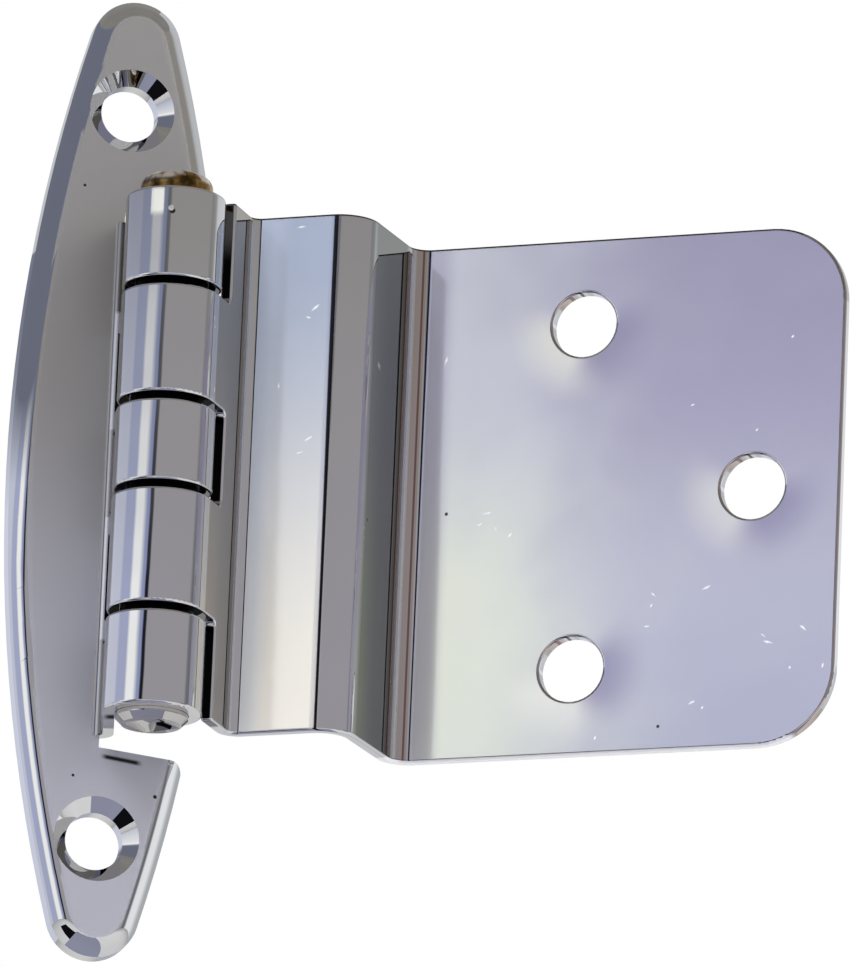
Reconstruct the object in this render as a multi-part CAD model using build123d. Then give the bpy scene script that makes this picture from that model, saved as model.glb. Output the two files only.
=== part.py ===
"""Inset cabinet hinge: two rolled sheet leaves that turn on one plain pin.

Frame: the frame leaf's mounting rim lies in the plane Y = 0 and its face looks along -Y.
+Z runs up along the pin. The origin is midway between the frame leaf's two screw holes.
"""
import math
import os

from build123d import *

# Sheet stock and the rolled barrel
sheet = 0.9
pin_radius = 2.56
running_clearance = 0.04
knuckle_heights = (6.6, 7.9, 5.9, 8.3, 6.8)  # from the top down
knuckle_gap = 0.5
curl_angle = 310.0
edge_round = 0.2

# Pin
pin_top_stand = 1.6
pin_foot_stand = 0.75
pin_top_round = 0.9
pin_foot_chamfer = 0.45
stake_width = 2.9
stake_depth = 0.35

# Place of the pin, from the middle of the frame leaf's screw line
pin_offset = 2.05
pin_forward = 9.1
leaf_drop = 0.25
barrel_drop = 0.25
open_angle = 32.65

# Frame leaf: a long plate with bowed sides and round tips, dished towards the cabinet
plate_length = 69.85
plate_width = 15.15
plate_shift = 0.25
tip_radius = 3.2
plate_rise = 2.2
shoulder_inset = 0.8
shoulder_drop = 0.8
shoulder_round = 1.3
rim_wall = 0.9
tab_lean = 12.0
tab_bend = 0.6
end_relief = 0.8
relief_reach = 0.65
window_sill = 60.0
lobe_slant = 4.5
lobe_corner = 0.8
root_flare = 0.8
screw_margin = 8.3
screw_hole_radius = 2.05
countersink_radius = 3.05
countersink_depth = 0.9
seat_wall = 0.8

# Door leaf: wall from the barrel, lip strip, step and plate, all one sheet
leaf_height = 37.7
lip_level = 6.39
lip_bend = 0.65
lip_depth = 9.525
step_reach = 12.1
step_lean = 2.9
step_outer_bend = 2.7
step_inner_bend = 1.3
leaf_reach = 44.45
leaf_corner = 5.6
notch_clearance = 0.2
notch_corner = 0.5
leaf_edge_round = 0.22
door_hole_radius = 2.35
door_hole_round = 0.2
inner_hole_reach = 25.1
outer_hole_margin = 6.45
inner_hole_spacing = 25.2

knuckle_bore = pin_radius + running_clearance
knuckle_radius = knuckle_bore + sheet
roll_radius = knuckle_bore + sheet / 2
barrel_height = sum(knuckle_heights) + knuckle_gap * (len(knuckle_heights) - 1)
leaf_axis = Location((pin_offset, -pin_forward, -leaf_drop))
screw_spacing = plate_length - 2 * screw_margin
outer_hole_reach = leaf_reach - outer_hole_margin


def knuckle_span(index):
    """Lower and upper level of a knuckle, from the middle of the door leaf."""
    top = barrel_height / 2 - barrel_drop - sum(knuckle_heights[:index]) - knuckle_gap * index
    return top - knuckle_heights[index], top


def polar(radius, angle):
    return Vector(radius * math.cos(math.radians(angle)), radius * math.sin(math.radians(angle)))


def sheet_profile(start, heading, steps):
    """Section of bent sheet that follows its middle line.

    A step is (length,) for a straight run or (inner radius, turn) for a bend, left turns positive.
    """
    point = Vector(*start)
    half = sheet / 2
    left, right = [], []
    first = point + polar(half, heading + 90), point + polar(half, heading - 90)
    for step in steps:
        if len(step) == 1:
            end = point + polar(step[0], heading)
            for side, edges in ((90, left), (-90, right)):
                reach = polar(half, heading + side)
                edges.append(Line(point + reach, end + reach))
        else:
            inner_radius, turn = step
            side = math.copysign(90, turn)
            middle = inner_radius + half
            centre = point + polar(middle, heading + side)
            for radius, edges in (
                (middle - math.copysign(half, turn), left),
                (middle + math.copysign(half, turn), right),
            ):
                spots = [centre + polar(radius, heading - side + turn * part) for part in (0, 0.5, 1)]
                edges.append(ThreePointArc(*spots))
            end = centre + polar(middle, heading - side + turn)
            heading += turn
        point = end
    last = point + polar(half, heading + 90), point + polar(half, heading - 90)
    return make_face(left + right + [Line(*first), Line(*last)])


def between_levels(face, low, high):
    return extrude(Pos(0, 0, low) * face, amount=high - low, dir=(0, 0, 1))


def lens_outline(inset):
    """Bowed outline in the X-Z plane; its round tips meet the side arcs without a corner."""
    half_width = plate_width / 2 - inset
    half_length = plate_length / 2 - inset
    tip = tip_radius - inset
    tip_level = half_length - tip
    radius = (half_width**2 + tip_level**2 - tip**2) / (2 * (half_width - tip))
    bow = radius - half_width
    slope = math.degrees(math.atan2(tip_level, bow))
    corner = polar(radius, slope) - Vector(bow, 0)
    sides = [
        ThreePointArc((sign * corner.X, -corner.Y), (sign * half_width, 0), (sign * corner.X, corner.Y))
        for sign in (1, -1)
    ]
    tips = [
        ThreePointArc((corner.X, sign * corner.Y), (0, sign * half_length), (-corner.X, sign * corner.Y))
        for sign in (1, -1)
    ]
    return Pos(plate_shift, 0) * make_face(sides + tips)


def lens_prism(inset, rise):
    """Prism of the bowed outline, from the mounting plane forward."""
    return extrude(Plane.XZ * lens_outline(inset), amount=rise)


def front_edges(body, level):
    return body.edges().filter_by_position(Axis.Y, -level - 0.01, -level + 0.01)


def dished_plate():
    """The plate as pressed: a flat face, a rolled shoulder and a rim that meets the cabinet."""
    plate = lens_prism(0, plate_rise)
    plate = chamfer(front_edges(plate, plate_rise), shoulder_drop, shoulder_inset)
    plate = fillet(front_edges(plate, plate_rise), shoulder_round)
    hollow_rise = plate_rise - sheet
    hollow = lens_prism(rim_wall, hollow_rise)
    hollow = chamfer(front_edges(hollow, hollow_rise), hollow_rise * 0.9, shoulder_inset * 0.6)
    return plate - hollow


plate_middle = -plate_rise + sheet / 2
lean_sine = math.sin(math.radians(tab_lean))
lean_cosine = math.cos(math.radians(tab_lean))
tab_radius = tab_bend + sheet / 2
tab_run = (plate_middle + pin_forward - tab_radius * (1 + lean_sine) - roll_radius * lean_sine) / lean_cosine
fold_x = pin_offset - (roll_radius + tab_radius) * lean_cosine + tab_run * lean_sine


def barrel_cutout():
    """Opening in the plate behind the barrel; its slanted ends run into round lobe corners."""
    low = knuckle_span(4)[0] - leaf_drop
    high = knuckle_span(0)[1] - leaf_drop
    drop = plate_width * math.tan(math.radians(lobe_slant))
    near = fold_x + relief_reach
    far = near + plate_width
    opening = Polyline(
        (fold_x, high),
        (near, high),
        (near, high + end_relief),
        (far, high + end_relief + drop),
        (far, low - end_relief - drop),
        (near, low - end_relief),
        (near, low),
        (fold_x, low),
        close=True,
    )
    kept = lens_prism(0, plate_rise) - extrude(Plane.XZ * make_face(opening), amount=plate_rise)
    corners = [edge for edge in kept.edges().filter_by(Axis.Y) if edge.center().X > pin_offset]
    return lens_prism(0, plate_rise) - fillet(corners, lobe_corner)


def window_sills():
    """What the windows leave of the fold, all along the barrel."""
    overlap = sheet
    low = knuckle_span(4)[0] - leaf_drop
    high = knuckle_span(0)[1] - leaf_drop
    section = sheet_profile((fold_x - overlap, plate_middle), 0, [(overlap,), (tab_bend, -window_sill)])
    return between_levels(section, low, high)


def frame_tab(index):
    """One knuckle with the tab that carries it up from the plate."""
    low, high = (level - leaf_drop for level in knuckle_span(index))
    overlap = sheet
    steps = [(overlap,), (tab_bend, -90 - tab_lean), (tab_run,), (knuckle_bore, curl_angle)]
    tab = between_levels(sheet_profile((fold_x - overlap, plate_middle), 0, steps), low, high)
    return fillet(knuckle_rims(tab, leaf_axis.position, low, high), edge_round)


def knuckle_rims(body, axis, low, high):
    """The arcs that end a knuckle's outer face, above and below."""
    rims = body.edges().filter_by(GeomType.CIRCLE)
    return [
        edge
        for edge in rims
        if abs(edge.radius - knuckle_radius) < 0.01
        and (edge.arc_center - Vector(axis.X, axis.Y, edge.arc_center.Z)).length < 0.01
        and min(abs(edge.arc_center.Z - low), abs(edge.arc_center.Z - high)) < 0.01
    ]


def root_flares():
    """Slanted corners where each tab widens into the fold, cut from one bent strip."""
    overlap = sheet
    steps = [(overlap,), (tab_bend, -90 - tab_lean), (root_flare,)]
    section = sheet_profile((fold_x - overlap, plate_middle), 0, steps)
    face_x = fold_x + tab_radius
    corners = []
    for index in (0, 2, 4):
        for level, away in zip(knuckle_span(index), (-1, 1)):
            if abs(level + barrel_drop) < barrel_height / 2 - 0.01:
                level -= leaf_drop
                depth = tab_radius + root_flare
                end = level + away * depth
                strip = between_levels(section, min(level, end), max(level, end))
                slope = Polyline(
                    (-plate_rise, level),
                    (-plate_rise - depth, level),
                    (-plate_rise, end),
                    close=True,
                )
                wedge = extrude(Plane.YZ.offset(face_x) * make_face(slope), amount=depth * 2, both=True)
                corners.append(strip & wedge)
    return corners


def screw_seat(level):
    """Metal pressed back around a screw, down to the mounting plane."""
    drop = plate_rise - sheet
    mid = Plane.XZ.offset(drop / 2) * Pos(0, level)
    return mid * Cone(screw_hole_radius + seat_wall, countersink_radius + seat_wall, drop)


def screw_cutter(level):
    bore = Plane.XZ * Pos(0, level) * Cylinder(screw_hole_radius, plate_rise * 3)
    cone = Plane.XZ.offset(plate_rise - countersink_depth / 2) * Pos(0, level)
    cone *= Cone(screw_hole_radius, countersink_radius, countersink_depth)
    return [bore, cone]


def frame_leaf():
    leaf = dished_plate() - barrel_cutout()
    leaf += window_sills()
    for index in (0, 2, 4):
        leaf += frame_tab(index)
    for corner in root_flares():
        leaf += corner
    for level in (screw_spacing / 2, -screw_spacing / 2):
        leaf += screw_seat(level)
        leaf -= screw_cutter(level)
    return leaf


def door_profile():
    """Section of the door leaf, walked from the plate's outer end to the end of the curl."""
    plate_level = lip_level + lip_depth + sheet / 2
    half = sheet / 2
    turn = 90 - step_lean
    setback = math.tan(math.radians(turn / 2))
    lean = math.tan(math.radians(step_lean))
    inner_setback = (step_inner_bend + half) * setback
    outer_setback = (step_outer_bend - half) * setback
    shift = half / math.cos(math.radians(step_lean))
    corner_out = step_reach - shift + lean * (lip_depth / 2 + half)
    corner_in = step_reach - shift - lean * (lip_depth / 2 - half)
    wall_x = knuckle_bore + half
    step_run = lip_depth / math.cos(math.radians(step_lean)) - inner_setback - outer_setback
    lip_run = corner_in - outer_setback - wall_x - (lip_bend + half)
    steps = [
        (leaf_reach - corner_out - inner_setback,),
        (step_inner_bend, turn),
        (step_run,),
        (step_outer_bend - sheet, -turn),
        (lip_run,),
        (lip_bend, 90),
        (lip_level - lip_bend,),
        (knuckle_bore, -curl_angle),
    ]
    return sheet_profile((leaf_reach, plate_level), 180, steps)


def barrel_notches():
    """Room in the door leaf for the frame leaf's knuckles to turn."""
    swing = knuckle_radius + notch_clearance
    depth = math.sqrt(swing**2 - knuckle_bore**2)
    block = knuckle_radius * 2 + 1
    notches = []
    for index in (0, 2, 4):
        low, high = knuckle_span(index)
        low = low - knuckle_gap if index < 4 else -leaf_height
        high = high + knuckle_gap if index > 0 else leaf_height
        notch = Pos(0, depth - block / 2, (low + high) / 2) * Box(block, block, high - low)
        inner = [edge for edge in notch.edges().filter_by(Axis.X) if edge.center().Y > 0]
        notches.append(fillet(inner, notch_corner))
        notches.append(Pos(0, 0, (low + high) / 2) * Cylinder(swing, high - low))
    return notches


def leaf_rims(leaf):
    """Every edge round the strip and the plate, front and back, clear of the barrel."""
    ends = [edge for edge in leaf.edges() if abs(abs(edge.center().Z) - leaf_height / 2) < 0.001]
    far = [edge for edge in leaf.edges() if edge.center().X > leaf_reach - leaf_corner]
    rims = {
        edge
        for edge in ends + far
        if edge.bounding_box().size.Y < sheet or edge.center().X > leaf_corner
    }
    return [edge for edge in rims if edge.center().Y > lip_level - 0.01 and edge.length > sheet * 1.01]


def door_leaf():
    """Modelled shut, with the pin on the Z axis, then swung open about the pin."""
    half = leaf_height / 2
    leaf = between_levels(door_profile(), -half, half)
    ends = [edge for edge in leaf.edges().filter_by(Axis.Y) if edge.center().X > leaf_reach - 0.01]
    leaf = fillet(ends, leaf_corner)
    leaf = fillet(leaf_rims(leaf), leaf_edge_round)
    leaf -= barrel_notches()
    for index in (1, 3):
        low, high = knuckle_span(index)
        leaf = fillet(knuckle_rims(leaf, Vector(0, 0), low, high), edge_round)
    for reach, level in (
        (inner_hole_reach, inner_hole_spacing / 2),
        (inner_hole_reach, -inner_hole_spacing / 2),
        (outer_hole_reach, 0),
    ):
        leaf -= Plane.XZ * Pos(reach, level) * Cylinder(door_hole_radius, leaf_reach * 2)
    rims = [
        edge
        for edge in leaf.edges().filter_by(GeomType.CIRCLE)
        if abs(edge.radius - door_hole_radius) < 0.001
        and edge.arc_center.Y < lip_level + lip_depth + sheet / 2
    ]
    leaf = fillet(rims, door_hole_round)
    return leaf_axis * Rot(0, 0, -open_angle) * leaf


def hinge_pin():
    """Plain pin with a round top; its foot is staked to hold it in the frame leaf."""
    length = barrel_height + pin_top_stand + pin_foot_stand
    lift = (pin_top_stand - pin_foot_stand) / 2 - barrel_drop
    pin = Pos(0, 0, lift) * Cylinder(pin_radius, length)
    pin = fillet(pin.edges().sort_by(Axis.Z)[-1], pin_top_round)
    pin = chamfer(pin.edges().filter_by(GeomType.CIRCLE).sort_by(Axis.Z)[0], pin_foot_chamfer)
    foot = lift - length / 2
    mark = Pos(0, 0, foot) * Rot(0, 0, 45) * Rectangle(stake_width, stake_width)
    pin -= extrude(mark, amount=stake_depth, taper=70)
    return leaf_axis * pin


def write_part(name, body):
    export_step(body, os.path.join("parts", name + ".step"))


os.makedirs("parts", exist_ok=True)
write_part("frame_leaf", frame_leaf())
write_part("door_leaf", door_leaf())
write_part("hinge_pin", hinge_pin())
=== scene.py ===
import math

import bmesh
import bpy
from mathutils import Matrix, Vector

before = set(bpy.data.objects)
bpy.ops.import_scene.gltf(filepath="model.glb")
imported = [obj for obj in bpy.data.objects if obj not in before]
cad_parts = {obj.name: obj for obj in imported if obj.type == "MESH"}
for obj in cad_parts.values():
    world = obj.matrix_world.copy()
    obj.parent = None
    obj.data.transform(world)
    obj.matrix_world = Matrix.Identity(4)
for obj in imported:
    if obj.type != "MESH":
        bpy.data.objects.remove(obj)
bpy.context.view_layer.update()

# The viewpoint: degrees, metres, and the focal length in pixels of the picture
CAMERA_AZIMUTH = -12.94
CAMERA_ELEVATION = -16.12
CAMERA_ROLL = 2.446
CAMERA_DISTANCE = 0.943
FOCAL_PIXELS = 13516.0
PHOTO_SIZE = (855, 967)
SENSOR_WIDTH = 36.0
NEAR_CLIP = 0.01
FAR_CLIP = 50.0

# Where the pin's middle stands from the middle of the picture, across and up, in metres
AXIS_OFFSET = (-0.01837, 0.00217)

# The pin's middle in metres, and how far the door leaf is open
PIN = Vector((0.00205, -0.0091, -0.00025))
SWING = math.radians(32.65)
UP = Vector((0.0, 0.0, 1.0))
MM = 0.001
FLOOR_LEVEL = -0.35


def link(obj):
    bpy.context.scene.collection.objects.link(obj)
    return obj


def add_camera():
    azimuth = math.radians(CAMERA_AZIMUTH)
    elevation = math.radians(CAMERA_ELEVATION)
    roll = math.radians(CAMERA_ROLL)
    right = Vector((math.cos(azimuth), math.sin(azimuth), 0.0))
    up = Vector(
        (
            -math.sin(azimuth) * math.sin(elevation),
            math.cos(azimuth) * math.sin(elevation),
            math.cos(elevation),
        )
    )
    ahead = Vector(
        (
            -math.sin(azimuth) * math.cos(elevation),
            math.cos(azimuth) * math.cos(elevation),
            -math.sin(elevation),
        )
    )
    across = math.cos(roll) * right + math.sin(roll) * up
    upright = -math.sin(roll) * right + math.cos(roll) * up
    place = PIN - CAMERA_DISTANCE * ahead - AXIS_OFFSET[0] * across - AXIS_OFFSET[1] * upright
    data = bpy.data.cameras.new("camera")
    data.sensor_fit = "HORIZONTAL"
    data.sensor_width = SENSOR_WIDTH
    data.lens = FOCAL_PIXELS / PHOTO_SIZE[0] * data.sensor_width
    data.clip_start = NEAR_CLIP
    data.clip_end = FAR_CLIP
    camera = link(bpy.data.objects.new("camera", data))
    turn = Matrix((across, upright, -ahead)).transposed()
    camera.matrix_world = Matrix.Translation(place) @ turn.to_4x4()
    bpy.context.scene.camera = camera


class Nodes:
    """Short spelling for building a node tree."""

    def __init__(self, tree):
        self.tree = tree
        tree.nodes.clear()

    def add(self, kind, **inputs):
        node = self.tree.nodes.new(kind)
        for name, value in inputs.items():
            self.feed(node, name, value)
        return node

    def feed(self, node, name, value):
        socket = node.inputs[int(name[1:])] if name[0] == "_" else node.inputs[name.replace("_", " ")]
        if isinstance(value, bpy.types.NodeSocket):
            self.tree.links.new(value, socket)
        else:
            socket.default_value = value

    def math(self, operation, first, second=0.0, third=0.0):
        node = self.add("ShaderNodeMath", _0=first, _1=second, _2=third)
        node.operation = operation
        return node.outputs[0]

    def noise(self, vector, scale, detail=2.0, roughness=0.5):
        node = self.add("ShaderNodeTexNoise", Vector=vector, Scale=scale, Detail=detail)
        node.inputs["Roughness"].default_value = roughness
        return node.outputs["Fac"]

    def clamp(self, value, low, high):
        return self.math("MINIMUM", self.math("MAXIMUM", value, low), high)

    def grown(self, base, mask, extra):
        """A value that grows by an extra amount where the mask is."""
        return self.math("ADD", base, self.math("MULTIPLY", mask, extra))

    def ramp(self, factor, stops):
        node = self.add("ShaderNodeValToRGB", Fac=factor)
        ramp = node.color_ramp
        while len(ramp.elements) > 1:
            ramp.elements.remove(ramp.elements[-1])
        ramp.elements[0].position = stops[0][0]
        ramp.elements[0].color = tone(stops[0][1])
        for place, value in stops[1:]:
            ramp.elements.new(place).color = tone(value)
        return node.outputs["Color"]

    def mix(self, factor, first, second):
        return self.blend("RGBA", 6, 2, factor, first, second)

    def mix_ways(self, factor, first, second):
        return self.blend("VECTOR", 4, 1, factor, first, second)

    def blend(self, kind, first_socket, result, factor, first, second):
        node = self.tree.nodes.new("ShaderNodeMix")
        node.data_type = kind
        self.feed(node, "_0", factor)
        self.feed(node, "_%d" % first_socket, first)
        self.feed(node, "_%d" % (first_socket + 1), second)
        return node.outputs[result]


def new_material(name):
    material = bpy.data.materials.new(name)
    material.use_nodes = True
    return material, Nodes(material.node_tree)


def tone(value):
    """A colour as the eye reads it, 0 to 255 a channel, turned to linear light."""
    if isinstance(value, (int, float)):
        value = (value, value, value)
    linear = []
    for channel in value:
        share = channel / 255.0
        linear.append(share / 12.92 if share <= 0.04045 else ((share + 0.055) / 1.055) ** 2.4)
    return (*linear, 1.0)


# The pale light that reaches matt surfaces from all round
AMBIENT_TONE = 225
AMBIENT_STRENGTH = 0.7


def add_world():
    world = bpy.data.worlds.new("studio")
    bpy.context.scene.world = world
    world.use_nodes = True
    nodes = Nodes(world.node_tree)
    rays = nodes.add("ShaderNodeLightPath").outputs
    seen = nodes.math("MAXIMUM", rays["Is Camera Ray"], rays["Is Glossy Ray"])
    seen = nodes.math("MAXIMUM", seen, rays["Is Transmission Ray"])
    plain = nodes.add("ShaderNodeBackground", Color=tone(AMBIENT_TONE), Strength=AMBIENT_STRENGTH)
    white = nodes.add("ShaderNodeBackground", Color=(1.0, 1.0, 1.0, 1.0), Strength=1.0)
    mixed = nodes.add("ShaderNodeMixShader", _0=seen, _1=plain.outputs[0], _2=white.outputs[0])
    nodes.add("ShaderNodeOutputWorld", Surface=mixed.outputs[0])


# The cards of the studio: degrees round the room from the viewer, positive to the right
CARDS = (
    (-160, -95, (186, 189, 203)),
    (-89, -66, (158, 164, 190)),
    (-60, -44, (231, 232, 230)),
    (-34, -29, (136, 144, 176)),
    (-26.5, -20.5, (26, 28, 38)),
    (-18, 80, (147, 145, 149)),
    (87, 97, (104, 106, 110)),
    (107, 136, (222, 224, 227)),
)
BEHIND_OBJECT = (72, 76, 80)

# The duller band above the cards: share of the way round, and its tone
DUSK = (
    (0.42, (102, 106, 120)),
    (0.45, (134, 131, 126)),
    (0.74, (134, 131, 126)),
    (0.8, (170, 172, 174)),
)

# The ring's size, the sight lines in degrees between which its cards lean and fade, and the lean
ROOM_RADIUS = 2.0
ROOM_TOP = 1.6
RING_STEPS = 180
LOW_SIGHT = 15.2
HIGH_SIGHT = 17.1
SLANT = 8.0
LEAN_LIMITS = (-2.0, 3.0)
FADE_RATE = 0.5

# Flat cards: left, right, near and far edge, in metres
CEILING_SPAN = (-2.2, 2.2, -2.2, 2.2)
FLAG_SPAN = (-0.75, -0.24, -0.42, 0.02)
MAT_SPAN = (-0.24, 0.14, -0.6, 0.3)
CARD_LIFT = 0.01
CEILING_TONE = (126, 124, 120)
FLAG_TONE = (14, 14, 18)
MAT_TONE = (138, 140, 160)

# Tone of the plating, which the cards allow for
PLATING = 206
CARD_STRENGTH = 1.0 / tone(PLATING)[0]
CARD_SHADE = 0.94


def stage_only(card):
    """A card of the studio, shown by polished metal alone."""
    card.visible_camera = False
    card.visible_diffuse = False
    card.visible_shadow = False
    card.visible_transmission = False


def glow(name, colour):
    """Card paint: a tone as it comes back from the plating, with slow uneven shade."""
    material, nodes = new_material(name)
    spot = nodes.add("ShaderNodeTexCoord").outputs["Object"]
    darker = [channel * CARD_SHADE for channel in colour]
    shade = nodes.ramp(nodes.noise(spot, 1.5), [(0.3, darker), (0.7, colour)])
    light = nodes.add("ShaderNodeEmission", Color=shade, Strength=CARD_STRENGTH)
    nodes.add("ShaderNodeOutputMaterial", Surface=light.outputs[0])
    return material


def flat_card(name, span, level, paint):
    left, right, near, far = span
    corners = [(left, near, level), (right, near, level), (right, far, level), (left, far, level)]
    mesh = bpy.data.meshes.new(name)
    mesh.from_pydata(corners, [], [(0, 1, 2, 3)])
    mesh.materials.append(paint)
    stage_only(link(bpy.data.objects.new(name, mesh)))


def ring_mesh():
    mesh = bpy.data.meshes.new("cards")
    shape = bmesh.new()
    rings = []
    for level in (FLOOR_LEVEL, ROOM_TOP):
        ring = []
        for step in range(RING_STEPS):
            angle = 2 * math.pi * step / RING_STEPS
            place = (ROOM_RADIUS * math.cos(angle), ROOM_RADIUS * math.sin(angle), level)
            ring.append(shape.verts.new(place))
        rings.append(ring)
    foot, top = rings
    for step in range(RING_STEPS):
        following = (step + 1) % RING_STEPS
        shape.faces.new((foot[step], foot[following], top[following], top[step]))
    shape.to_mesh(mesh)
    shape.free()
    return mesh


def ring_paint():
    """The cards side by side round the ring, leaning and fading into the duller band above."""
    material, nodes = new_material("cards")
    spot = nodes.add("ShaderNodeTexCoord").outputs["Object"]
    parts = nodes.add("ShaderNodeSeparateXYZ", Vector=spot).outputs
    angle = nodes.math("ARCTAN2", parts["X"], nodes.math("MULTIPLY", parts["Y"], -1.0))
    turn = nodes.math("SUBTRACT", nodes.math("DEGREES", angle), CAMERA_AZIMUTH)
    low = ROOM_RADIUS * math.tan(math.radians(LOW_SIGHT))
    high = ROOM_RADIUS * math.tan(math.radians(HIGH_SIGHT))
    rise = nodes.math("DIVIDE", nodes.math("SUBTRACT", parts["Z"], low), high - low)
    lean = nodes.clamp(rise, *LEAN_LIMITS)
    turn = nodes.math("SUBTRACT", turn, nodes.math("MULTIPLY", lean, SLANT))
    turn = nodes.math("WRAP", turn, 180.0, -180.0)
    share = nodes.math("DIVIDE", nodes.math("ADD", turn, 180.0), 360.0)
    stops = [(0.0, BEHIND_OBJECT)]
    for start, end, value in CARDS:
        stops += [((start + 180.0) / 360.0, value), ((end + 180.0) / 360.0, value)]
    stops.append((1.0, BEHIND_OBJECT))
    lift = nodes.clamp(nodes.math("MULTIPLY", rise, FADE_RATE), 0.0, 1.0)
    colour = nodes.mix(lift, nodes.ramp(share, stops), nodes.ramp(share, DUSK))
    light = nodes.add("ShaderNodeEmission", Color=colour, Strength=CARD_STRENGTH)
    nodes.add("ShaderNodeOutputMaterial", Surface=light.outputs[0])
    return material


def add_room():
    """Pale and dark cards round the object, which only polished metal shows."""
    cards = link(bpy.data.objects.new("cards", ring_mesh()))
    cards.data.materials.append(ring_paint())
    stage_only(cards)
    floor_card = FLOOR_LEVEL + CARD_LIFT
    flat_card("ceiling", CEILING_SPAN, ROOM_TOP, glow("ceiling_card", CEILING_TONE))
    flat_card("floor_flag", FLAG_SPAN, floor_card, glow("black_card", FLAG_TONE))
    flat_card("floor_mat", MAT_SPAN, floor_card, glow("grey_card", MAT_TONE))


FLOOR_HALF = 3.0
FLOOR_TONES = ((0.3, 226), (0.7, 232))


def add_floor():
    mesh = bpy.data.meshes.new("floor")
    shape = bmesh.new()
    bmesh.ops.create_grid(shape, x_segments=1, y_segments=1, size=FLOOR_HALF)
    shape.to_mesh(mesh)
    shape.free()
    floor = link(bpy.data.objects.new("floor", mesh))
    floor.location = (0.0, 0.0, FLOOR_LEVEL)
    material, nodes = new_material("floor")
    spot = nodes.add("ShaderNodeTexCoord").outputs["Object"]
    grain = nodes.ramp(nodes.noise(spot, 3.0), FLOOR_TONES)
    paint = nodes.add("ShaderNodeBsdfPrincipled", Base_Color=grain, Roughness=0.8)
    nodes.add("ShaderNodeOutputMaterial", Surface=paint.outputs[0])
    mesh.materials.append(material)


# The lamps: name, place in metres and power in watts
LAMPS = (
    ("key", (-0.8, -1.0, 1.2), 18.0),
    ("fill", (1.0, -0.7, 0.6), 8.0),
    ("back", (0.2, 1.1, 0.9), 8.0),
)
LAMP_SIZE = 0.8


def add_lamp(name, place, power):
    data = bpy.data.lights.new(name, "AREA")
    data.size = LAMP_SIZE
    data.energy = power
    lamp = link(bpy.data.objects.new(name, data))
    lamp.location = place
    lamp.rotation_euler = (-Vector(place)).to_track_quat("-Z", "Y").to_euler()
    lamp.visible_glossy = False


# The door leaf's own directions
LEAF_RIGHT = Vector((math.cos(SWING), -math.sin(SWING), 0.0))
LEAF_BACK = Vector((math.sin(SWING), math.cos(SWING), 0.0))

# The angle that the plate's shoulder rolls through
ROLL_ANGLE = math.radians(70)

# The hinge's own sizes, in millimetres
LEAF_PLATE = 15.915
LEAF_LIP = 6.39
PLATE_FACE = 2.2
PLATE_SHIFT = 0.25
PLATE_HALF_WIDTH = 7.575
PLATE_HALF_LENGTH = 34.925
TIP_RADIUS = 3.2
ROLL_WIDTH = 1.65
ROLL_START = 0.1
ROLL_FADE = 0.1
SCREW_LEVEL = 26.625
CONE_FOOT = 2.05
CONE_TOP = 3.05
CONE_DEPTH = 0.9

# Soft steps, in millimetres: where each starts and where it is whole
OFF_RIM = (-1.28, -1.42)
OFF_BARREL = (-PLATE_FACE - 0.15, -PLATE_FACE - 0.05)
NEAR_FACE = (-PLATE_FACE + 0.1, -PLATE_FACE + 0.02)
CONE_REACH = (3.2, 3.1)
FRAME_PAINTED_RISE = (-14, 8)
BARREL_FRONT = (-2.6, -3.0)
LEFT_OF_SILL = (1.0, 0.8)
LOWER_TAB = (-12.2, -12.4)
UPPER_TAB = (11.4, 11.8)
KNUCKLE_FRONT = (-11.0, -11.3)
PLATE_DEPTH = (LEAF_PLATE - 0.2, LEAF_PLATE - 0.1)
PLATE_START = (11.8, 13.2)
PLATE_BOW = (36, 14)
PLATE_LEFT = (38, 14)
PLATE_LOW = (10, -10)
PLATE_EDGE = (15.8, 14.2)
PLATE_MORE_PAINTED = (17.5, 13.8)
LEAF_DOWNWARD = (17, -17)
LIP_DRIFT = (4.5, 7.5)
LIP_TONES_RISE = (-18, 17)
LIP_LEFT = (6.4, 4.6)
LIP_MORE_PAINTED = (6.8, 5.0)
NOTCH_UPPER_LIGHT = (14.2, 16.6)
BY_BARREL = (4.5, 4.0)
BEHIND_WALL = (5.4, 5.7)
BY_PLATE = (14.8, 15.2)
UPPER_EDGE = (18.0, 18.3)
LOWER_EDGE = (-18.2, -18.6)
FOOT_DEPTH = (14.0, 14.5)
PIN_TOP = (18.0, 18.3)
PIN_CROWN = (18.95, 19.3)

# Bands, in millimetres: start, end and the width of the soft edge
BARREL_LEVELS = (-18.6, 17.5, 0.1)
FOLD_DEPTH = (-7.6, -2.3, 0.1)
MIDDLE_TAB = (-3.4, 3.0, 0.1)
SILL_END_DEPTH = (-3.2, -1.5, 0.1)
SILL_END_WIDTH = (-1.2, 1.0, 0.1)
NOTCH_LINE_LEVELS = (-20.8, -20.5, 0.1)
NOTCH_LINE_WIDTH = (0.2, 2.8, 0.3)
NOTCH_LINE_SLOPE = 0.10
KNUCKLE_LEVELS = (16.2, 18.1, 0.3)
LIP_DEPTH = (LEAF_LIP - 0.2, LEAF_LIP + 0.2, 0.05)
NOTCH_END_DEPTH = (1.8, 3.4, 0.2)
RISER_DEPTH = (8.5, 14.6, 0.6)
WALL_DEPTH = (0.2, 5.6, 0.2)
PIN_BODY = (-19.2, 17.8, 0.1)

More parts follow.
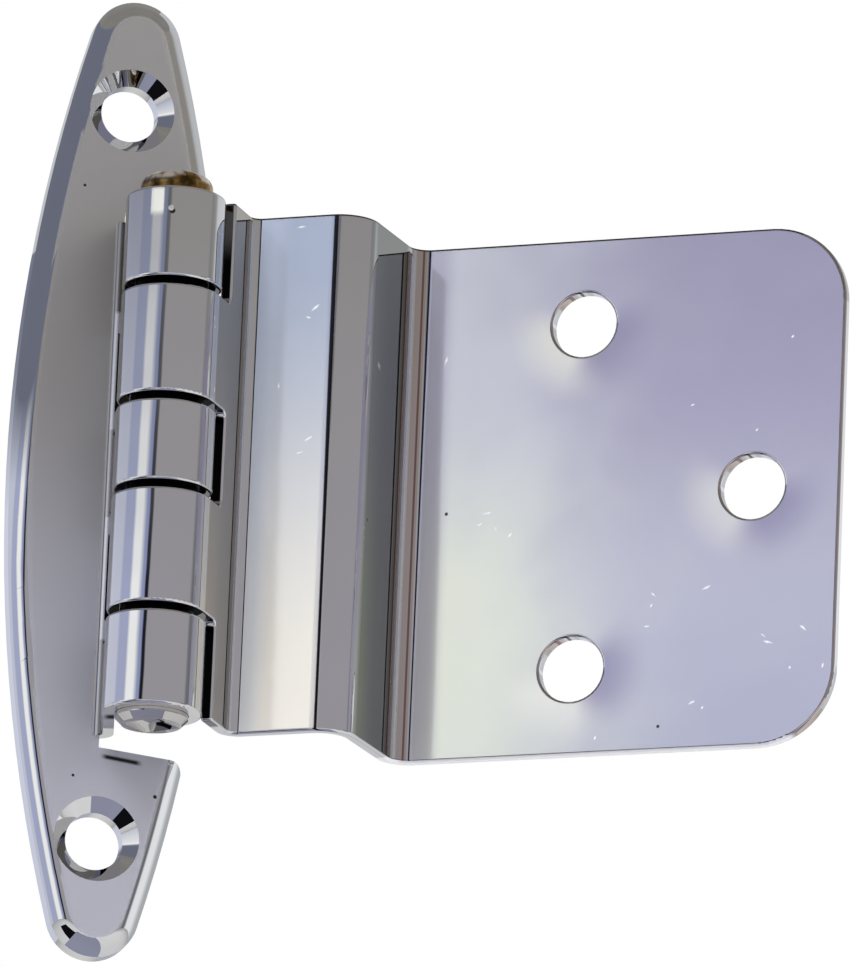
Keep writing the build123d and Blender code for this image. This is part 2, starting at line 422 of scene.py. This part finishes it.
# How squarely a surface faces a direction: where a mask starts and where it is whole
FLAT_FACING = (0.985, 0.998)
FRONT_FACING = (0.97, 0.998)
END_FACING = (0.8, 0.95)
FOLD_FACING = (0.1, 0.3)
SILL_END_FACING = (0.97, 0.99)
ROLL_FACING = (0.55, 0.75)
CONE_FACING = (0.93, 0.97)
SHINE_FACING = (0.988, 0.993)
WALL_FACING = (0.9, 0.98)
FOOT_FACING = (0.3, 0.5)
DENT_LIT = (0.2, 0.95)
DENT_SHADED = (0.3, 0.95)

# Bands of facing along the bends and rims, for painted reflection and painted shade lines: start, end
# and the width of the soft edge
DARK_BEND = (0.11, 0.20, 0.01)
PALE_BEND = (0.30, 0.80, 0.03)
BROWN_BEND = (0.42, 0.52, 0.02)
UPPER_RIM = (0.25, 0.95, 0.05)
FOOT_LINE = (0.12, 0.26, 0.04)

# How rough a stretch is, 0 to 255
FRAME_HAZE = 165
FOLD_HAZE = 120
PLATE_HAZE = 90
LIP_HAZE = 96
PIT_HAZE = 90
KNUCKLE_GLINT_HAZE = 210
NICK_HAZE = 150
BRASS_HAZE = 90
GLINT_HAZE = 170
PIN_SHADE_HAZE = 150

# Share of the mirror that painted reflections and painted highlights take over
FRAME_PAINTED_REFLECTION = 0.55
SHINE_PAINTED_SHARE = 0.6
PLATE_PAINTED_REFLECTION = 0.45
PLATE_EDGE_PAINTED_REFLECTION = 0.1
LIP_PAINTED_REFLECTION = 0.6
LIP_EDGE_PAINTED_REFLECTION = 0.25
LOWER_RIM_PAINTED_SHARE = 0.7

# Share of a tone that goes into the one below it
LOW_SHARE = 0.6
EDGE_SHARE = 0.6
LIP_LEFT_SHARE = 0.5
RISER_SHARE = 0.9
RUB_SHARE = 0.85

# How far the leaf's plate and lip lean, as a share of the surface's direction
PLATE_LEAN = 0.006
PLATE_LOW_LEAN = 0.022
LIP_LEAN = 0.03

# Tones of the painted reflections, painted highlights and painted shade, and of the rub marks, pits and
# nicks
FRAME_PAINTED_FOOT = (186, 186, 198)
FRAME_PAINTED_HEAD = (154, 152, 152)
LEAF_VIOLET = (174, 170, 196)
LEAF_PALE = (212, 214, 224)
LEAF_CREAM = (230, 233, 218)
DENT_PAINTED_HIGHLIGHT = (244, 242, 232)
DENT_PAINTED_SHADE = (152, 146, 178)
LIP_BLUE = (180, 190, 212)
LIP_CREAM = (244, 239, 228)
WALL_PAINTED_SHADE = (156, 150, 142)
RISER_PAINTED_SHADE = (110, 113, 108)
BARREL_PAINTED_SHADE = (52, 50, 48)
SILL_END_PAINTED_SHADE = (14, 14, 16)
NOTCH_PAINTED_SHADE = (16, 15, 15)
NOTCH_PAINTED_LIGHT = (120, 120, 122)
NOTCH_PAINTED_SHADE_LINE = (16, 16, 20)
FOLD_PAINTED_REFLECTION = (158, 156, 154)
UPPER_FOLD_PAINTED_REFLECTION = (112, 108, 100)
BEND_PAINTED_DARK = (30, 28, 34)
BEND_PAINTED_PALE = (186, 176, 172)
BEND_PAINTED_BROWN = (132, 104, 98)
UPPER_RIM_PAINTED_SHADE = (84, 76, 76)
LOWER_RIM_PAINTED_HIGHLIGHT = (238, 238, 242)
LOWER_RIM_PAINTED_SHADE = (66, 62, 76)
KNUCKLE_PAINTED_HIGHLIGHT = (240, 240, 232)
RUB_WHITE = (246, 246, 250)
PIT_BROWN = (40, 36, 34)
PIT_VIOLET = (60, 56, 66)
PIT_GREY = (60, 56, 54)
WHITE = (255, 255, 255)
NICK_TONE = 222

# How fine each pattern is, in turns a metre
CLOUD_GRAIN = 70.0
HAZE_GRAIN = 900.0
WAVE_GRAIN = 160.0
PIT_GRAIN = 2600.0
RUB_GRAIN = 2200.0
NICK_GRAIN = 420.0
NICK_CLUSTERS = 67.2
PLATE_GRAIN = 130.0
BRASS_GRAIN = 900.0
GLINT_GRAIN = 620.0

# The plating's roughness, 0 to 255, and the height of its waves and nicks in millimetres
POLISH = ((0.3, 24), (0.75, 44))
WAVE_RISE = 0.010
NICK_RISE = 0.012

# Pits in the frame leaf's face: across, level and radius
PLATE_PITS = (
    (3.12, 10.68, 0.14),
    (-3.15, 20.76, 0.11),
    (-1.89, -22.24, 0.11),
    (4.02, -23.22, 0.14),
)

# A pit and a painted glint beside it on the top knuckle: across, deep and level, then their radius, and
# the direction that the knuckle's painted highlight faces
KNUCKLE_PIT = (1.10, -12.47, 16.35)
KNUCKLE_PAINTED_GLINT = (1.00, -12.44, 16.55)
KNUCKLE_MARK = 0.2
KNUCKLE_SHINE_WAY = (-0.558, -0.830, 0.0)

# The direction that the sill's end faces
SILL_END_WAY = (0.5, -0.866, 0.0)

# Painted highlight and painted shade round the door leaf's holes, for their dents: distance from the
# pin, level, which way the painted bright side lies in degrees, and strength
DENTS = (
    (25.1, 12.6, 225, 0.75),
    (25.1, -12.6, 250, 0.8),
    (38.0, 0.0, 215, 0.55),
)
DENT_EDGE = 6.2
DENT_CORE = 2.4
DENT_SHADE_TURN = 95
DENT_SHADE_STRENGTH = 0.75

# Pits in the door leaf: distance from the pin, level and radius
LEAF_PITS = (
    (15.4, -0.8, 0.13),
    (31.7, -17.1, 0.12),
)

# Rub marks on the door leaf: distance from the pin, level, half length and lean in degrees
SCRATCHES = (
    (18.4, -0.9, 0.42, 10),
    (17.9, -1.7, 0.34, 20),
    (19.1, -2.1, 0.25, -60),
    (20.2, -2.6, 0.22, 50),
    (34.9, -7.2, 0.5, 25),
    (31.0, -7.5, 0.3, -40),
    (30.9, -8.3, 0.22, 55),
    (30.6, -9.8, 0.26, 0),
    (39.2, -10.9, 0.32, -35),
    (39.6, -11.4, 0.5, -15),
    (42.1, -10.5, 0.42, -40),
    (34.1, -15.5, 0.32, 25),
    (34.9, -15.9, 0.2, 60),
    (43.6, -13.3, 0.24, 80),
    (41.2, -13.3, 0.16, 90),
    (27.1, -17.7, 0.22, 80),
    (33.4, 6.2, 0.22, 20),
    (38.2, 4.1, 0.18, 45),
    (40.6, 10.8, 0.2, 60),
    (14.9, 10.5, 0.5, 78),
)
LIP_SCRATCHES = (
    (7.1, 18.0, 0.5, 5),
    (8.4, 12.0, 0.5, 40),
    (7.9, 11.3, 0.25, -20),
    (8.3, 2.4, 0.55, 30),
    (7.7, 1.4, 0.4, 15),
    (5.9, 6.4, 0.3, 85),
)


def on_leaf(right, back, high):
    """A place given in the door leaf's own directions, in millimetres from the pin."""
    return PIN + MM * (right * LEAF_RIGHT + back * LEAF_BACK + high * UP)


def leaf_way(lean):
    """A direction in the door leaf's face, in degrees up from its right."""
    turn = math.radians(lean)
    return math.cos(turn) * LEAF_RIGHT + math.sin(turn) * UP


class Metal:
    """Plated steel: bright and a little wavy, with pits, rub marks and a trace of haze."""

    def __init__(self, name, tint):
        self.material, self.nodes = new_material(name)
        nodes = self.nodes
        coordinates = nodes.add("ShaderNodeTexCoord").outputs
        self.spot = coordinates["Object"]
        self.normal = coordinates["Normal"]
        place = nodes.add("ShaderNodeSeparateXYZ", Vector=self.spot).outputs
        self.across, self.deep, self.high = place["X"], place["Y"], place["Z"]
        flat_normal = nodes.add("ShaderNodeNewGeometry").outputs["True Normal"]
        self.facet = self.turned(flat_normal, "WORLD", "OBJECT")
        cloud = nodes.noise(self.spot, CLOUD_GRAIN, 3.0)
        self.colour = nodes.ramp(cloud, [(0.35, [channel - 4 for channel in tint]), (0.65, tint)])
        self.roughness = nodes.ramp(nodes.noise(self.spot, HAZE_GRAIN, 4.0), POLISH)
        self.metallic = 1.0
        waves = nodes.noise(self.spot, WAVE_GRAIN, 1.0)
        self.height = nodes.math("MULTIPLY", waves, WAVE_RISE * MM)

    def turned(self, normal, start, end):
        """A direction taken between the piece's own space and the room's."""
        node = self.nodes.add("ShaderNodeVectorTransform", Vector=normal)
        node.vector_type = "NORMAL"
        node.convert_from = start
        node.convert_to = end
        return node.outputs[0]

    def vector(self, operation, *operands):
        node = self.nodes.add("ShaderNodeVectorMath")
        node.operation = operation
        for place, value in enumerate(operands):
            self.nodes.feed(node, "_%d" % place, value)
        return node.outputs["Value" if operation in ("DOT_PRODUCT", "LENGTH") else "Vector"]

    def scaled(self, vector, amount):
        node = self.nodes.add("ShaderNodeVectorMath", _0=vector)
        node.operation = "SCALE"
        self.nodes.feed(node, "Scale", amount)
        return node.outputs["Vector"]

    def facing(self, direction):
        """How squarely the surface faces a direction."""
        return self.vector("DOT_PRODUCT", self.normal, direction)

    def along(self, direction):
        """Distance from the pin along a direction, in metres."""
        return self.vector("DOT_PRODUCT", self.vector("SUBTRACT", self.spot, PIN), direction)

    def soft_step(self, value, low, high):
        """0 at low, 1 at high, smooth between."""
        node = self.nodes.add("ShaderNodeMapRange", Value=value, From_Min=low, From_Max=high)
        node.interpolation_type = "SMOOTHSTEP"
        return node.outputs[0]

    def within(self, value, low, high, edge):
        """1 from low to high, fading over the edge."""
        above = self.soft_step(value, low - edge, low + edge)
        below = self.soft_step(value, high + edge, high - edge)
        return self.both(above, below)

    def past(self, distance, low, high):
        """A soft step over a distance, with its ends in millimetres."""
        return self.soft_step(distance, MM * low, MM * high)

    def band(self, distance, low, high, edge):
        """A band of distance, with its ends in millimetres."""
        return self.within(distance, MM * low, MM * high, MM * edge)

    def both(self, *masks):
        product = masks[0]
        for mask in masks[1:]:
            product = self.nodes.math("MULTIPLY", product, mask)
        return product

    def paint(self, mask, value):
        self.colour = self.nodes.mix(mask, self.colour, tone(value))

    def haze(self, mask, value):
        self.roughness = self.nodes.mix(mask, self.roughness, tone(value))

    def paint_reflection(self, mask, share, colour):
        """Painted reflection: hides a share of the mirror and brings its own tone in its place."""
        amount = self.both(mask, share)
        self.metallic = self.nodes.math("SUBTRACT", self.metallic, amount)
        self.colour = self.nodes.mix(mask, self.colour, colour)

    def rising(self, foot, head, low, high):
        """One tone at the foot that turns slowly into another above."""
        return self.nodes.mix(self.past(self.high, low, high), tone(foot), tone(head))

    def tilt(self, direction, amount):
        """Lean the surface by a small share of a direction, as a bow does."""
        leaned = self.vector("ADD", self.normal, self.scaled(direction, amount))
        self.normal = self.vector("NORMALIZE", leaned)

    def reshape(self, mask, direction):
        """Give the masked surface its true smooth direction."""
        self.normal = self.vector("NORMALIZE", self.nodes.mix_ways(mask, self.normal, direction))

    def from_axis(self, centre, axis):
        """Way out from an axis and the distance from it."""
        offset = self.vector("SUBTRACT", self.spot, centre)
        lift = self.scaled(axis, self.vector("DOT_PRODUCT", offset, axis))
        out = self.vector("SUBTRACT", offset, lift)
        return self.vector("NORMALIZE", out), self.vector("LENGTH", out)

    def dot(self, centre, radius, value, rough=PIT_HAZE):
        """One pit, or one painted glint, its radius in millimetres."""
        wobble = self.nodes.math("MULTIPLY", self.nodes.noise(self.spot, PIT_GRAIN), 0.4 * MM * radius)
        distance = self.vector("LENGTH", self.vector("SUBTRACT", self.spot, centre))
        away = self.nodes.math("SUBTRACT", distance, wobble)
        mask = self.past(away, radius, 0.55 * radius)
        self.paint(mask, value)
        self.haze(mask, rough)

    def scratches(self, face, marks, back):
        """Short bright rub marks on one face of the door leaf."""
        nodes = self.nodes
        nearest = 1.0
        for reach, level, half_length, lean in marks:
            course = leaf_way(lean) / (MM * half_length)
            side = leaf_way(lean + 90) / MM
            offset = self.vector("SUBTRACT", self.spot, on_leaf(reach, back, level))
            run = self.vector("DOT_PRODUCT", offset, course)
            wide = nodes.math("ABSOLUTE", self.vector("DOT_PRODUCT", offset, side))
            away = nodes.grown(wide, nodes.math("MULTIPLY", run, run), 0.14)
            nearest = nodes.math("MINIMUM", nearest, away)
        ragged = nodes.grown(nearest, nodes.noise(self.spot, RUB_GRAIN), 0.2)
        mask = self.both(face, self.soft_step(ragged, 0.22, 0.11), RUB_SHARE)
        self.metallic = nodes.math("MULTIPLY", self.metallic, nodes.math("SUBTRACT", 1.0, mask))
        self.paint(mask, RUB_WHITE)

    def nicks(self):
        """Short bright nicks that stand a little proud."""
        nodes = self.nodes
        stretched = nodes.add("ShaderNodeMapping", Vector=self.spot, Rotation=(0.3, 0.9, 0.5))
        stretched.inputs["Scale"].default_value = (1.0, 0.35, 1.0)
        mark = nodes.noise(stretched.outputs[0], NICK_GRAIN, 3.0, 0.65)
        place = nodes.noise(self.spot, NICK_CLUSTERS, 2.0)
        mask = self.both(self.soft_step(mark, 0.66, 0.70), self.soft_step(place, 0.62, 0.67))
        self.paint(mask, NICK_TONE)
        self.haze(mask, NICK_HAZE)
        self.height = nodes.grown(self.height, mask, NICK_RISE * MM)

    def finish(self):
        nodes = self.nodes
        shaped = self.turned(self.normal, "OBJECT", "WORLD")
        bump = nodes.add("ShaderNodeBump", Strength=1.0, Distance=1.0, Height=self.height, Normal=shaped)
        metal = nodes.add(
            "ShaderNodeBsdfPrincipled",
            Base_Color=self.colour,
            Metallic=self.metallic,
            Roughness=self.roughness,
            Normal=bump.outputs[0],
        )
        nodes.add("ShaderNodeOutputMaterial", Surface=metal.outputs[0])
        return self.material


def roll_shoulder(metal):
    """The plate's shoulder as one smooth roll, from the rim round to the flat face."""
    nodes = metal.nodes
    tip_level = PLATE_HALF_LENGTH - TIP_RADIUS
    chord = PLATE_HALF_WIDTH**2 + tip_level**2 - TIP_RADIUS**2
    side_radius = chord / (2 * (PLATE_HALF_WIDTH - TIP_RADIUS))
    bow = side_radius - PLATE_HALF_WIDTH
    across = nodes.math("SUBTRACT", nodes.math("DIVIDE", metal.across, MM), PLATE_SHIFT)
    high = nodes.math("DIVIDE", metal.high, MM)
    width = nodes.math("ABSOLUTE", across)
    level = nodes.math("ABSOLUTE", high)
    reach = nodes.math("ADD", width, bow)
    past_tip = nodes.math("SUBTRACT", level, tip_level)
    side = nodes.add("ShaderNodeCombineXYZ", X=reach, Z=level).outputs[0]
    tip = nodes.add("ShaderNodeCombineXYZ", X=width, Z=past_tip).outputs[0]
    at_tip = nodes.math("GREATER_THAN", nodes.math("DIVIDE", level, reach), tip_level / bow)
    side_depth = nodes.math("SUBTRACT", side_radius, metal.vector("LENGTH", side))
    tip_depth = nodes.math("SUBTRACT", TIP_RADIUS, metal.vector("LENGTH", tip))
    depth = nodes.add("ShaderNodeMix", _0=at_tip, _2=side_depth, _3=tip_depth).outputs[0]
    quarter = metal.vector("NORMALIZE", nodes.mix_ways(at_tip, side, tip))
    signs = nodes.add("ShaderNodeCombineXYZ", X=nodes.math("SIGN", across), Z=nodes.math("SIGN", high))
    out = metal.vector("MULTIPLY", quarter, signs.outputs[0])
    share = nodes.add("ShaderNodeMapRange", Value=depth, From_Min=ROLL_START, From_Max=ROLL_WIDTH)
    angle = nodes.math("MULTIPLY", nodes.math("SUBTRACT", 1.0, share.outputs[0]), ROLL_ANGLE)
    forward = metal.scaled((0.0, -1.0, 0.0), nodes.math("COSINE", angle))
    rolled = metal.vector("ADD", metal.scaled(out, nodes.math("SINE", angle)), forward)
    fits = metal.soft_step(metal.vector("DOT_PRODUCT", metal.facet, rolled), *ROLL_FACING)
    off_rim = metal.past(metal.deep, *OFF_RIM)
    off_barrel = metal.past(metal.deep, *OFF_BARREL)
    off_flat = metal.soft_step(depth, ROLL_WIDTH, ROLL_WIDTH - ROLL_FADE)
    metal.reshape(metal.both(fits, off_rim, off_barrel, off_flat), rolled)


def round_cone(metal, level):
    """The countersink's wall as a true cone."""
    out, radius = metal.from_axis(MM * level * UP, Vector((0.0, 1.0, 0.0)))
    slope = math.atan2(CONE_TOP - CONE_FOOT, CONE_DEPTH)
    inward = metal.scaled(out, -math.cos(slope))
    cone = metal.vector("ADD", inward, (0.0, -math.sin(slope), 0.0))
    fits = metal.soft_step(metal.vector("DOT_PRODUCT", metal.facet, cone), *CONE_FACING)
    metal.reshape(metal.both(fits, metal.past(radius, *CONE_REACH)), cone)


def frame_folds(metal, upright, sideways, sill_end):
    """Painted shade in the barrel, painted reflection on the folds behind it and painted shade at the
    sill's end.
    """
    forward = metal.past(metal.deep, *BARREL_FRONT)
    # Painted shade on the knuckles' ends in the gaps of the barrel
    metal.paint(metal.both(upright, forward, metal.band(metal.high, *BARREL_LEVELS)), BARREL_PAINTED_SHADE)
    left_of_sill = metal.past(metal.across, *LEFT_OF_SILL)
    fold = metal.both(metal.band(metal.deep, *FOLD_DEPTH), sideways, left_of_sill)
    middle_tab = metal.band(metal.high, *MIDDLE_TAB)
    lower_tab = metal.past(metal.high, *LOWER_TAB)
    metal.haze(fold, FOLD_HAZE)
    # Painted reflection on the folds and tabs behind the barrel, darker and browner on the top tab
    metal.paint(metal.both(fold, metal.nodes.math("ADD", middle_tab, lower_tab)), FOLD_PAINTED_REFLECTION)
    metal.paint(metal.both(fold, metal.past(metal.high, *UPPER_TAB)), UPPER_FOLD_PAINTED_REFLECTION)
    # Painted shade on the sill's end face
    end_depth = metal.band(metal.deep, *SILL_END_DEPTH)
    end_width = metal.band(metal.across, *SILL_END_WIDTH)
    metal.paint(metal.both(sill_end, end_depth, end_width), SILL_END_PAINTED_SHADE)


def frame_marks(metal, flat):
    """Pits, a painted shade line beside the plate's notch, and a painted glint and painted highlight on
    the top knuckle.
    """
    for across, level, radius in PLATE_PITS:
        metal.dot(MM * Vector((across, -PLATE_FACE, level)), radius, PIT_BROWN)
    # A painted shade line beside the plate's notch
    slanted = metal.nodes.grown(metal.high, metal.across, NOTCH_LINE_SLOPE)
    line = metal.both(flat, metal.band(slanted, *NOTCH_LINE_LEVELS))
    metal.paint(metal.both(line, metal.band(metal.across, *NOTCH_LINE_WIDTH)), NOTCH_PAINTED_SHADE_LINE)
    metal.dot(MM * Vector(KNUCKLE_PIT), KNUCKLE_MARK, PIT_GREY)
    # A painted glint beside the pit
    metal.dot(MM * Vector(KNUCKLE_PAINTED_GLINT), KNUCKLE_MARK, WHITE, KNUCKLE_GLINT_HAZE)
    # Painted highlight near the top knuckle's upper end, where it faces the shine's direction
    knuckle_top = metal.band(metal.high, *KNUCKLE_LEVELS)
    in_front = metal.past(metal.deep, *KNUCKLE_FRONT)
    shine = metal.soft_step(metal.facing(KNUCKLE_SHINE_WAY), *SHINE_FACING)
    metal.paint_reflection(metal.both(knuckle_top, in_front, shine), SHINE_PAINTED_SHARE, tone(KNUCKLE_PAINTED_HIGHLIGHT))
    metal.nicks()


def frame_chrome():
    metal = Metal("frame_chrome", (PLATING, PLATING, PLATING + 1))
    square = metal.soft_step(metal.facing((0.0, -1.0, 0.0)), *FLAT_FACING)
    flat = metal.both(square, metal.past(metal.deep, *NEAR_FACE), metal.past(metal.deep, *OFF_BARREL))
    upright = metal.soft_step(metal.nodes.math("ABSOLUTE", metal.facing(UP)), *END_FACING)
    sideways = metal.soft_step(metal.facing((-1.0, 0.0, 0.0)), *FOLD_FACING)
    sill_end = metal.soft_step(metal.facing(SILL_END_WAY), *SILL_END_FACING)
    roll_shoulder(metal)
    for level in (SCREW_LEVEL, -SCREW_LEVEL):
        round_cone(metal, level)
    metal.haze(flat, FRAME_HAZE)
    # Painted reflection on the frame leaf's flat face, paler towards the foot and greyer above
    metal.paint_reflection(flat, FRAME_PAINTED_REFLECTION, metal.rising(FRAME_PAINTED_FOOT, FRAME_PAINTED_HEAD, *FRAME_PAINTED_RISE))
    frame_folds(metal, upright, sideways, sill_end)
    frame_marks(metal, flat)
    return metal.finish()


def plate_painted_reflection(metal, plate, right, lower):
    """Painted reflection on the door leaf's plate: pale at the left and foot, violet beyond, with
    painted highlight and painted shade round the holes for their dents.
    """
    nodes = metal.nodes
    cloud = metal.soft_step(nodes.noise(metal.spot, PLATE_GRAIN), 0.32, 0.7)
    lean = nodes.grown(PLATE_LEAN, lower, PLATE_LOW_LEAN)
    bow = nodes.math("MULTIPLY", metal.past(right, *PLATE_BOW), lean)
    metal.tilt(-LEAF_RIGHT, metal.both(plate, bow))
    leftness = metal.past(nodes.grown(right, cloud, 4 * MM), *PLATE_LEFT)
    footness = metal.past(metal.high, *PLATE_LOW)
    pale = nodes.math("MAXIMUM", leftness, nodes.math("MULTIPLY", footness, LOW_SHARE))
    tones = nodes.mix(pale, tone(LEAF_VIOLET), tone(LEAF_PALE))
    tones = nodes.mix(metal.both(leftness, footness), tones, tone(LEAF_CREAM))
    edge = metal.both(metal.past(right, *PLATE_EDGE), EDGE_SHARE)
    tones = nodes.mix(edge, tones, tone(LEAF_VIOLET))
    # Each dent is only painted: a painted highlight on one side, painted shade turned from it
    for reach, level, turn, strength in DENTS:
        out, radius = metal.from_axis(on_leaf(reach, LEAF_PLATE, level), LEAF_BACK)
        ring = metal.past(radius, DENT_EDGE, DENT_CORE)
        lit = metal.soft_step(metal.vector("DOT_PRODUCT", out, leaf_way(turn)), *DENT_LIT)
        tones = nodes.mix(metal.both(ring, lit, strength), tones, tone(DENT_PAINTED_HIGHLIGHT))
        shade_way = leaf_way(turn + DENT_SHADE_TURN)
        shaded = metal.soft_step(metal.vector("DOT_PRODUCT", out, shade_way), *DENT_SHADED)
        tones = nodes.mix(metal.both(ring, shaded, DENT_SHADE_STRENGTH), tones, tone(DENT_PAINTED_SHADE))
    # More of the mirror is given over to painted reflection towards the left
    share = nodes.grown(PLATE_PAINTED_REFLECTION, metal.past(right, *PLATE_MORE_PAINTED), PLATE_EDGE_PAINTED_REFLECTION)
    metal.paint_reflection(plate, share, tones)


def lip_painted_reflection(metal, strip, right, lower):
    """Painted reflection on the door leaf's lip: cream at the foot and blue above, bluer along its left
    edge.
    """
    nodes = metal.nodes
    lean = nodes.math("MULTIPLY", lower, LIP_LEAN)
    drift = nodes.math("MULTIPLY", metal.past(right, *LIP_DRIFT), lean)
    metal.tilt(-LEAF_RIGHT, metal.both(strip, drift))
    tones = metal.rising(LIP_CREAM, LIP_BLUE, *LIP_TONES_RISE)
    edge = metal.both(metal.past(right, *LIP_LEFT), LIP_LEFT_SHARE)
    tones = nodes.mix(edge, tones, tone(LIP_BLUE))
    share = nodes.grown(LIP_PAINTED_REFLECTION, metal.past(right, *LIP_MORE_PAINTED), LIP_EDGE_PAINTED_REFLECTION)
    metal.paint_reflection(strip, share, tones)


def leaf_bends(metal, back):
    """Painted reflection lines along the bends, a painted shade line along the top rim, and painted
    shade on the wall and riser between them.
    """
    sideways = metal.facing(LEAF_RIGHT)
    bends = metal.both(metal.within(sideways, *DARK_BEND), metal.past(back, *BEHIND_WALL))
    # Painted reflection lines along the bends
    metal.paint(bends, BEND_PAINTED_DARK)
    by_plate = metal.past(back, *BY_PLATE)
    metal.paint(metal.both(by_plate, metal.within(sideways, *PALE_BEND)), BEND_PAINTED_PALE)
    metal.paint(metal.both(by_plate, metal.within(sideways, *BROWN_BEND)), BEND_PAINTED_BROWN)
    upward = metal.within(metal.facing(UP), *UPPER_RIM)
    # Painted shade line along the top rim
    metal.paint(metal.both(upward, metal.past(metal.high, *UPPER_EDGE)), UPPER_RIM_PAINTED_SHADE)
    square = metal.soft_step(sideways, *WALL_FACING)
    # Painted shade on the riser and the wall
    metal.paint(metal.both(square, metal.band(back, *RISER_DEPTH), RISER_SHARE), RISER_PAINTED_SHADE)
    metal.paint(metal.both(square, metal.band(back, *WALL_DEPTH)), WALL_PAINTED_SHADE)


def lower_rim(metal, back):
    """The rounded lower edge of the plate with a painted white highlight, and a thin painted shade line
    above it.
    """
    downward = metal.facing(-UP)
    foot = metal.both(metal.past(metal.high, *LOWER_EDGE), metal.past(back, *FOOT_DEPTH))
    metal.paint_reflection(metal.both(foot, metal.soft_step(downward, *FOOT_FACING)), LOWER_RIM_PAINTED_SHARE, tone(LOWER_RIM_PAINTED_HIGHLIGHT))
    metal.paint(metal.both(foot, metal.within(downward, *FOOT_LINE)), LOWER_RIM_PAINTED_SHADE)


def door_chrome():
    metal = Metal("door_chrome", (PLATING, PLATING, PLATING + 2))
    right, back = metal.along(LEAF_RIGHT), metal.along(LEAF_BACK)
    front = metal.soft_step(metal.facing(-LEAF_BACK), *FRONT_FACING)
    plate = metal.both(front, metal.past(back, *PLATE_DEPTH), metal.past(right, *PLATE_START))
    strip = metal.both(front, metal.band(back, *LIP_DEPTH))
    upright = metal.soft_step(metal.nodes.math("ABSOLUTE", metal.facing(UP)), *END_FACING)
    metal.haze(plate, PLATE_HAZE)
    metal.haze(strip, LIP_HAZE)
    lower = metal.past(metal.high, *LEAF_DOWNWARD)
    plate_painted_reflection(metal, plate, right, lower)
    lip_painted_reflection(metal, strip, right, lower)
    # Painted shade in the notch's end, with lighter painted grey towards its top
    notch_end = metal.both(front, metal.band(back, *NOTCH_END_DEPTH))
    metal.paint(notch_end, NOTCH_PAINTED_SHADE)
    metal.paint(metal.both(notch_end, metal.past(metal.high, *NOTCH_UPPER_LIGHT)), NOTCH_PAINTED_LIGHT)
    in_barrel = metal.both(metal.past(back, *BY_BARREL), metal.past(right, *BY_BARREL))
    # Painted shade on the door leaf's knuckle ends inside the barrel
    metal.paint(metal.both(upright, in_barrel), BARREL_PAINTED_SHADE)
    leaf_bends(metal, back)
    lower_rim(metal, back)
    metal.scratches(plate, SCRATCHES, LEAF_PLATE)
    metal.scratches(strip, LIP_SCRATCHES, LEAF_LIP)
    for reach, level, radius in LEAF_PITS:
        metal.dot(on_leaf(reach, LEAF_PLATE, level), radius, PIT_VIOLET)
    return metal.finish()


PIN_STEEL = (186, 184, 182)
PIN_BRASS = ((0.36, (70, 52, 30)), (0.5, (128, 98, 52)), (0.62, (168, 140, 84)))
PIN_PAINTED_GLINT = (250, 240, 236)
PIN_PAINTED_SHADE = (12, 12, 12)


def pin_chrome():
    """Brown worn brass on the pin's top with a painted glint, painted shade along the pin inside the
    barrel, and plain steel at its foot.
    """
    metal = Metal("pin_chrome", PIN_STEEL)
    nodes = metal.nodes
    brass = nodes.ramp(nodes.noise(metal.spot, BRASS_GRAIN, 3.0), PIN_BRASS)
    top = metal.past(metal.high, *PIN_TOP)
    metal.colour = nodes.mix(top, metal.colour, brass)
    metal.haze(top, BRASS_HAZE)
    # Painted glint on the pin's crown
    patches = metal.soft_step(nodes.noise(metal.spot, GLINT_GRAIN), 0.44, 0.54)
    glint = metal.both(metal.past(metal.high, *PIN_CROWN), patches)
    metal.paint(glint, PIN_PAINTED_GLINT)
    metal.haze(glint, GLINT_HAZE)
    # Painted shade on the pin inside the barrel, between the knuckles
    pin_in_shade = metal.band(metal.high, *PIN_BODY)
    metal.paint(pin_in_shade, PIN_PAINTED_SHADE)
    metal.haze(pin_in_shade, PIN_SHADE_HAZE)
    return metal.finish()


def dress():
    finishes = {"frame_leaf": frame_chrome(), "door_leaf": door_chrome(), "hinge_pin": pin_chrome()}
    for name, finish in finishes.items():
        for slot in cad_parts[name].material_slots:
            slot.material = finish


scene = bpy.context.scene
scene.view_settings.view_transform = "Standard"
add_camera()
add_world()
add_floor()
add_room()
for lamp_name, lamp_place, lamp_power in LAMPS:
    add_lamp(lamp_name, lamp_place, lamp_power)
dress()
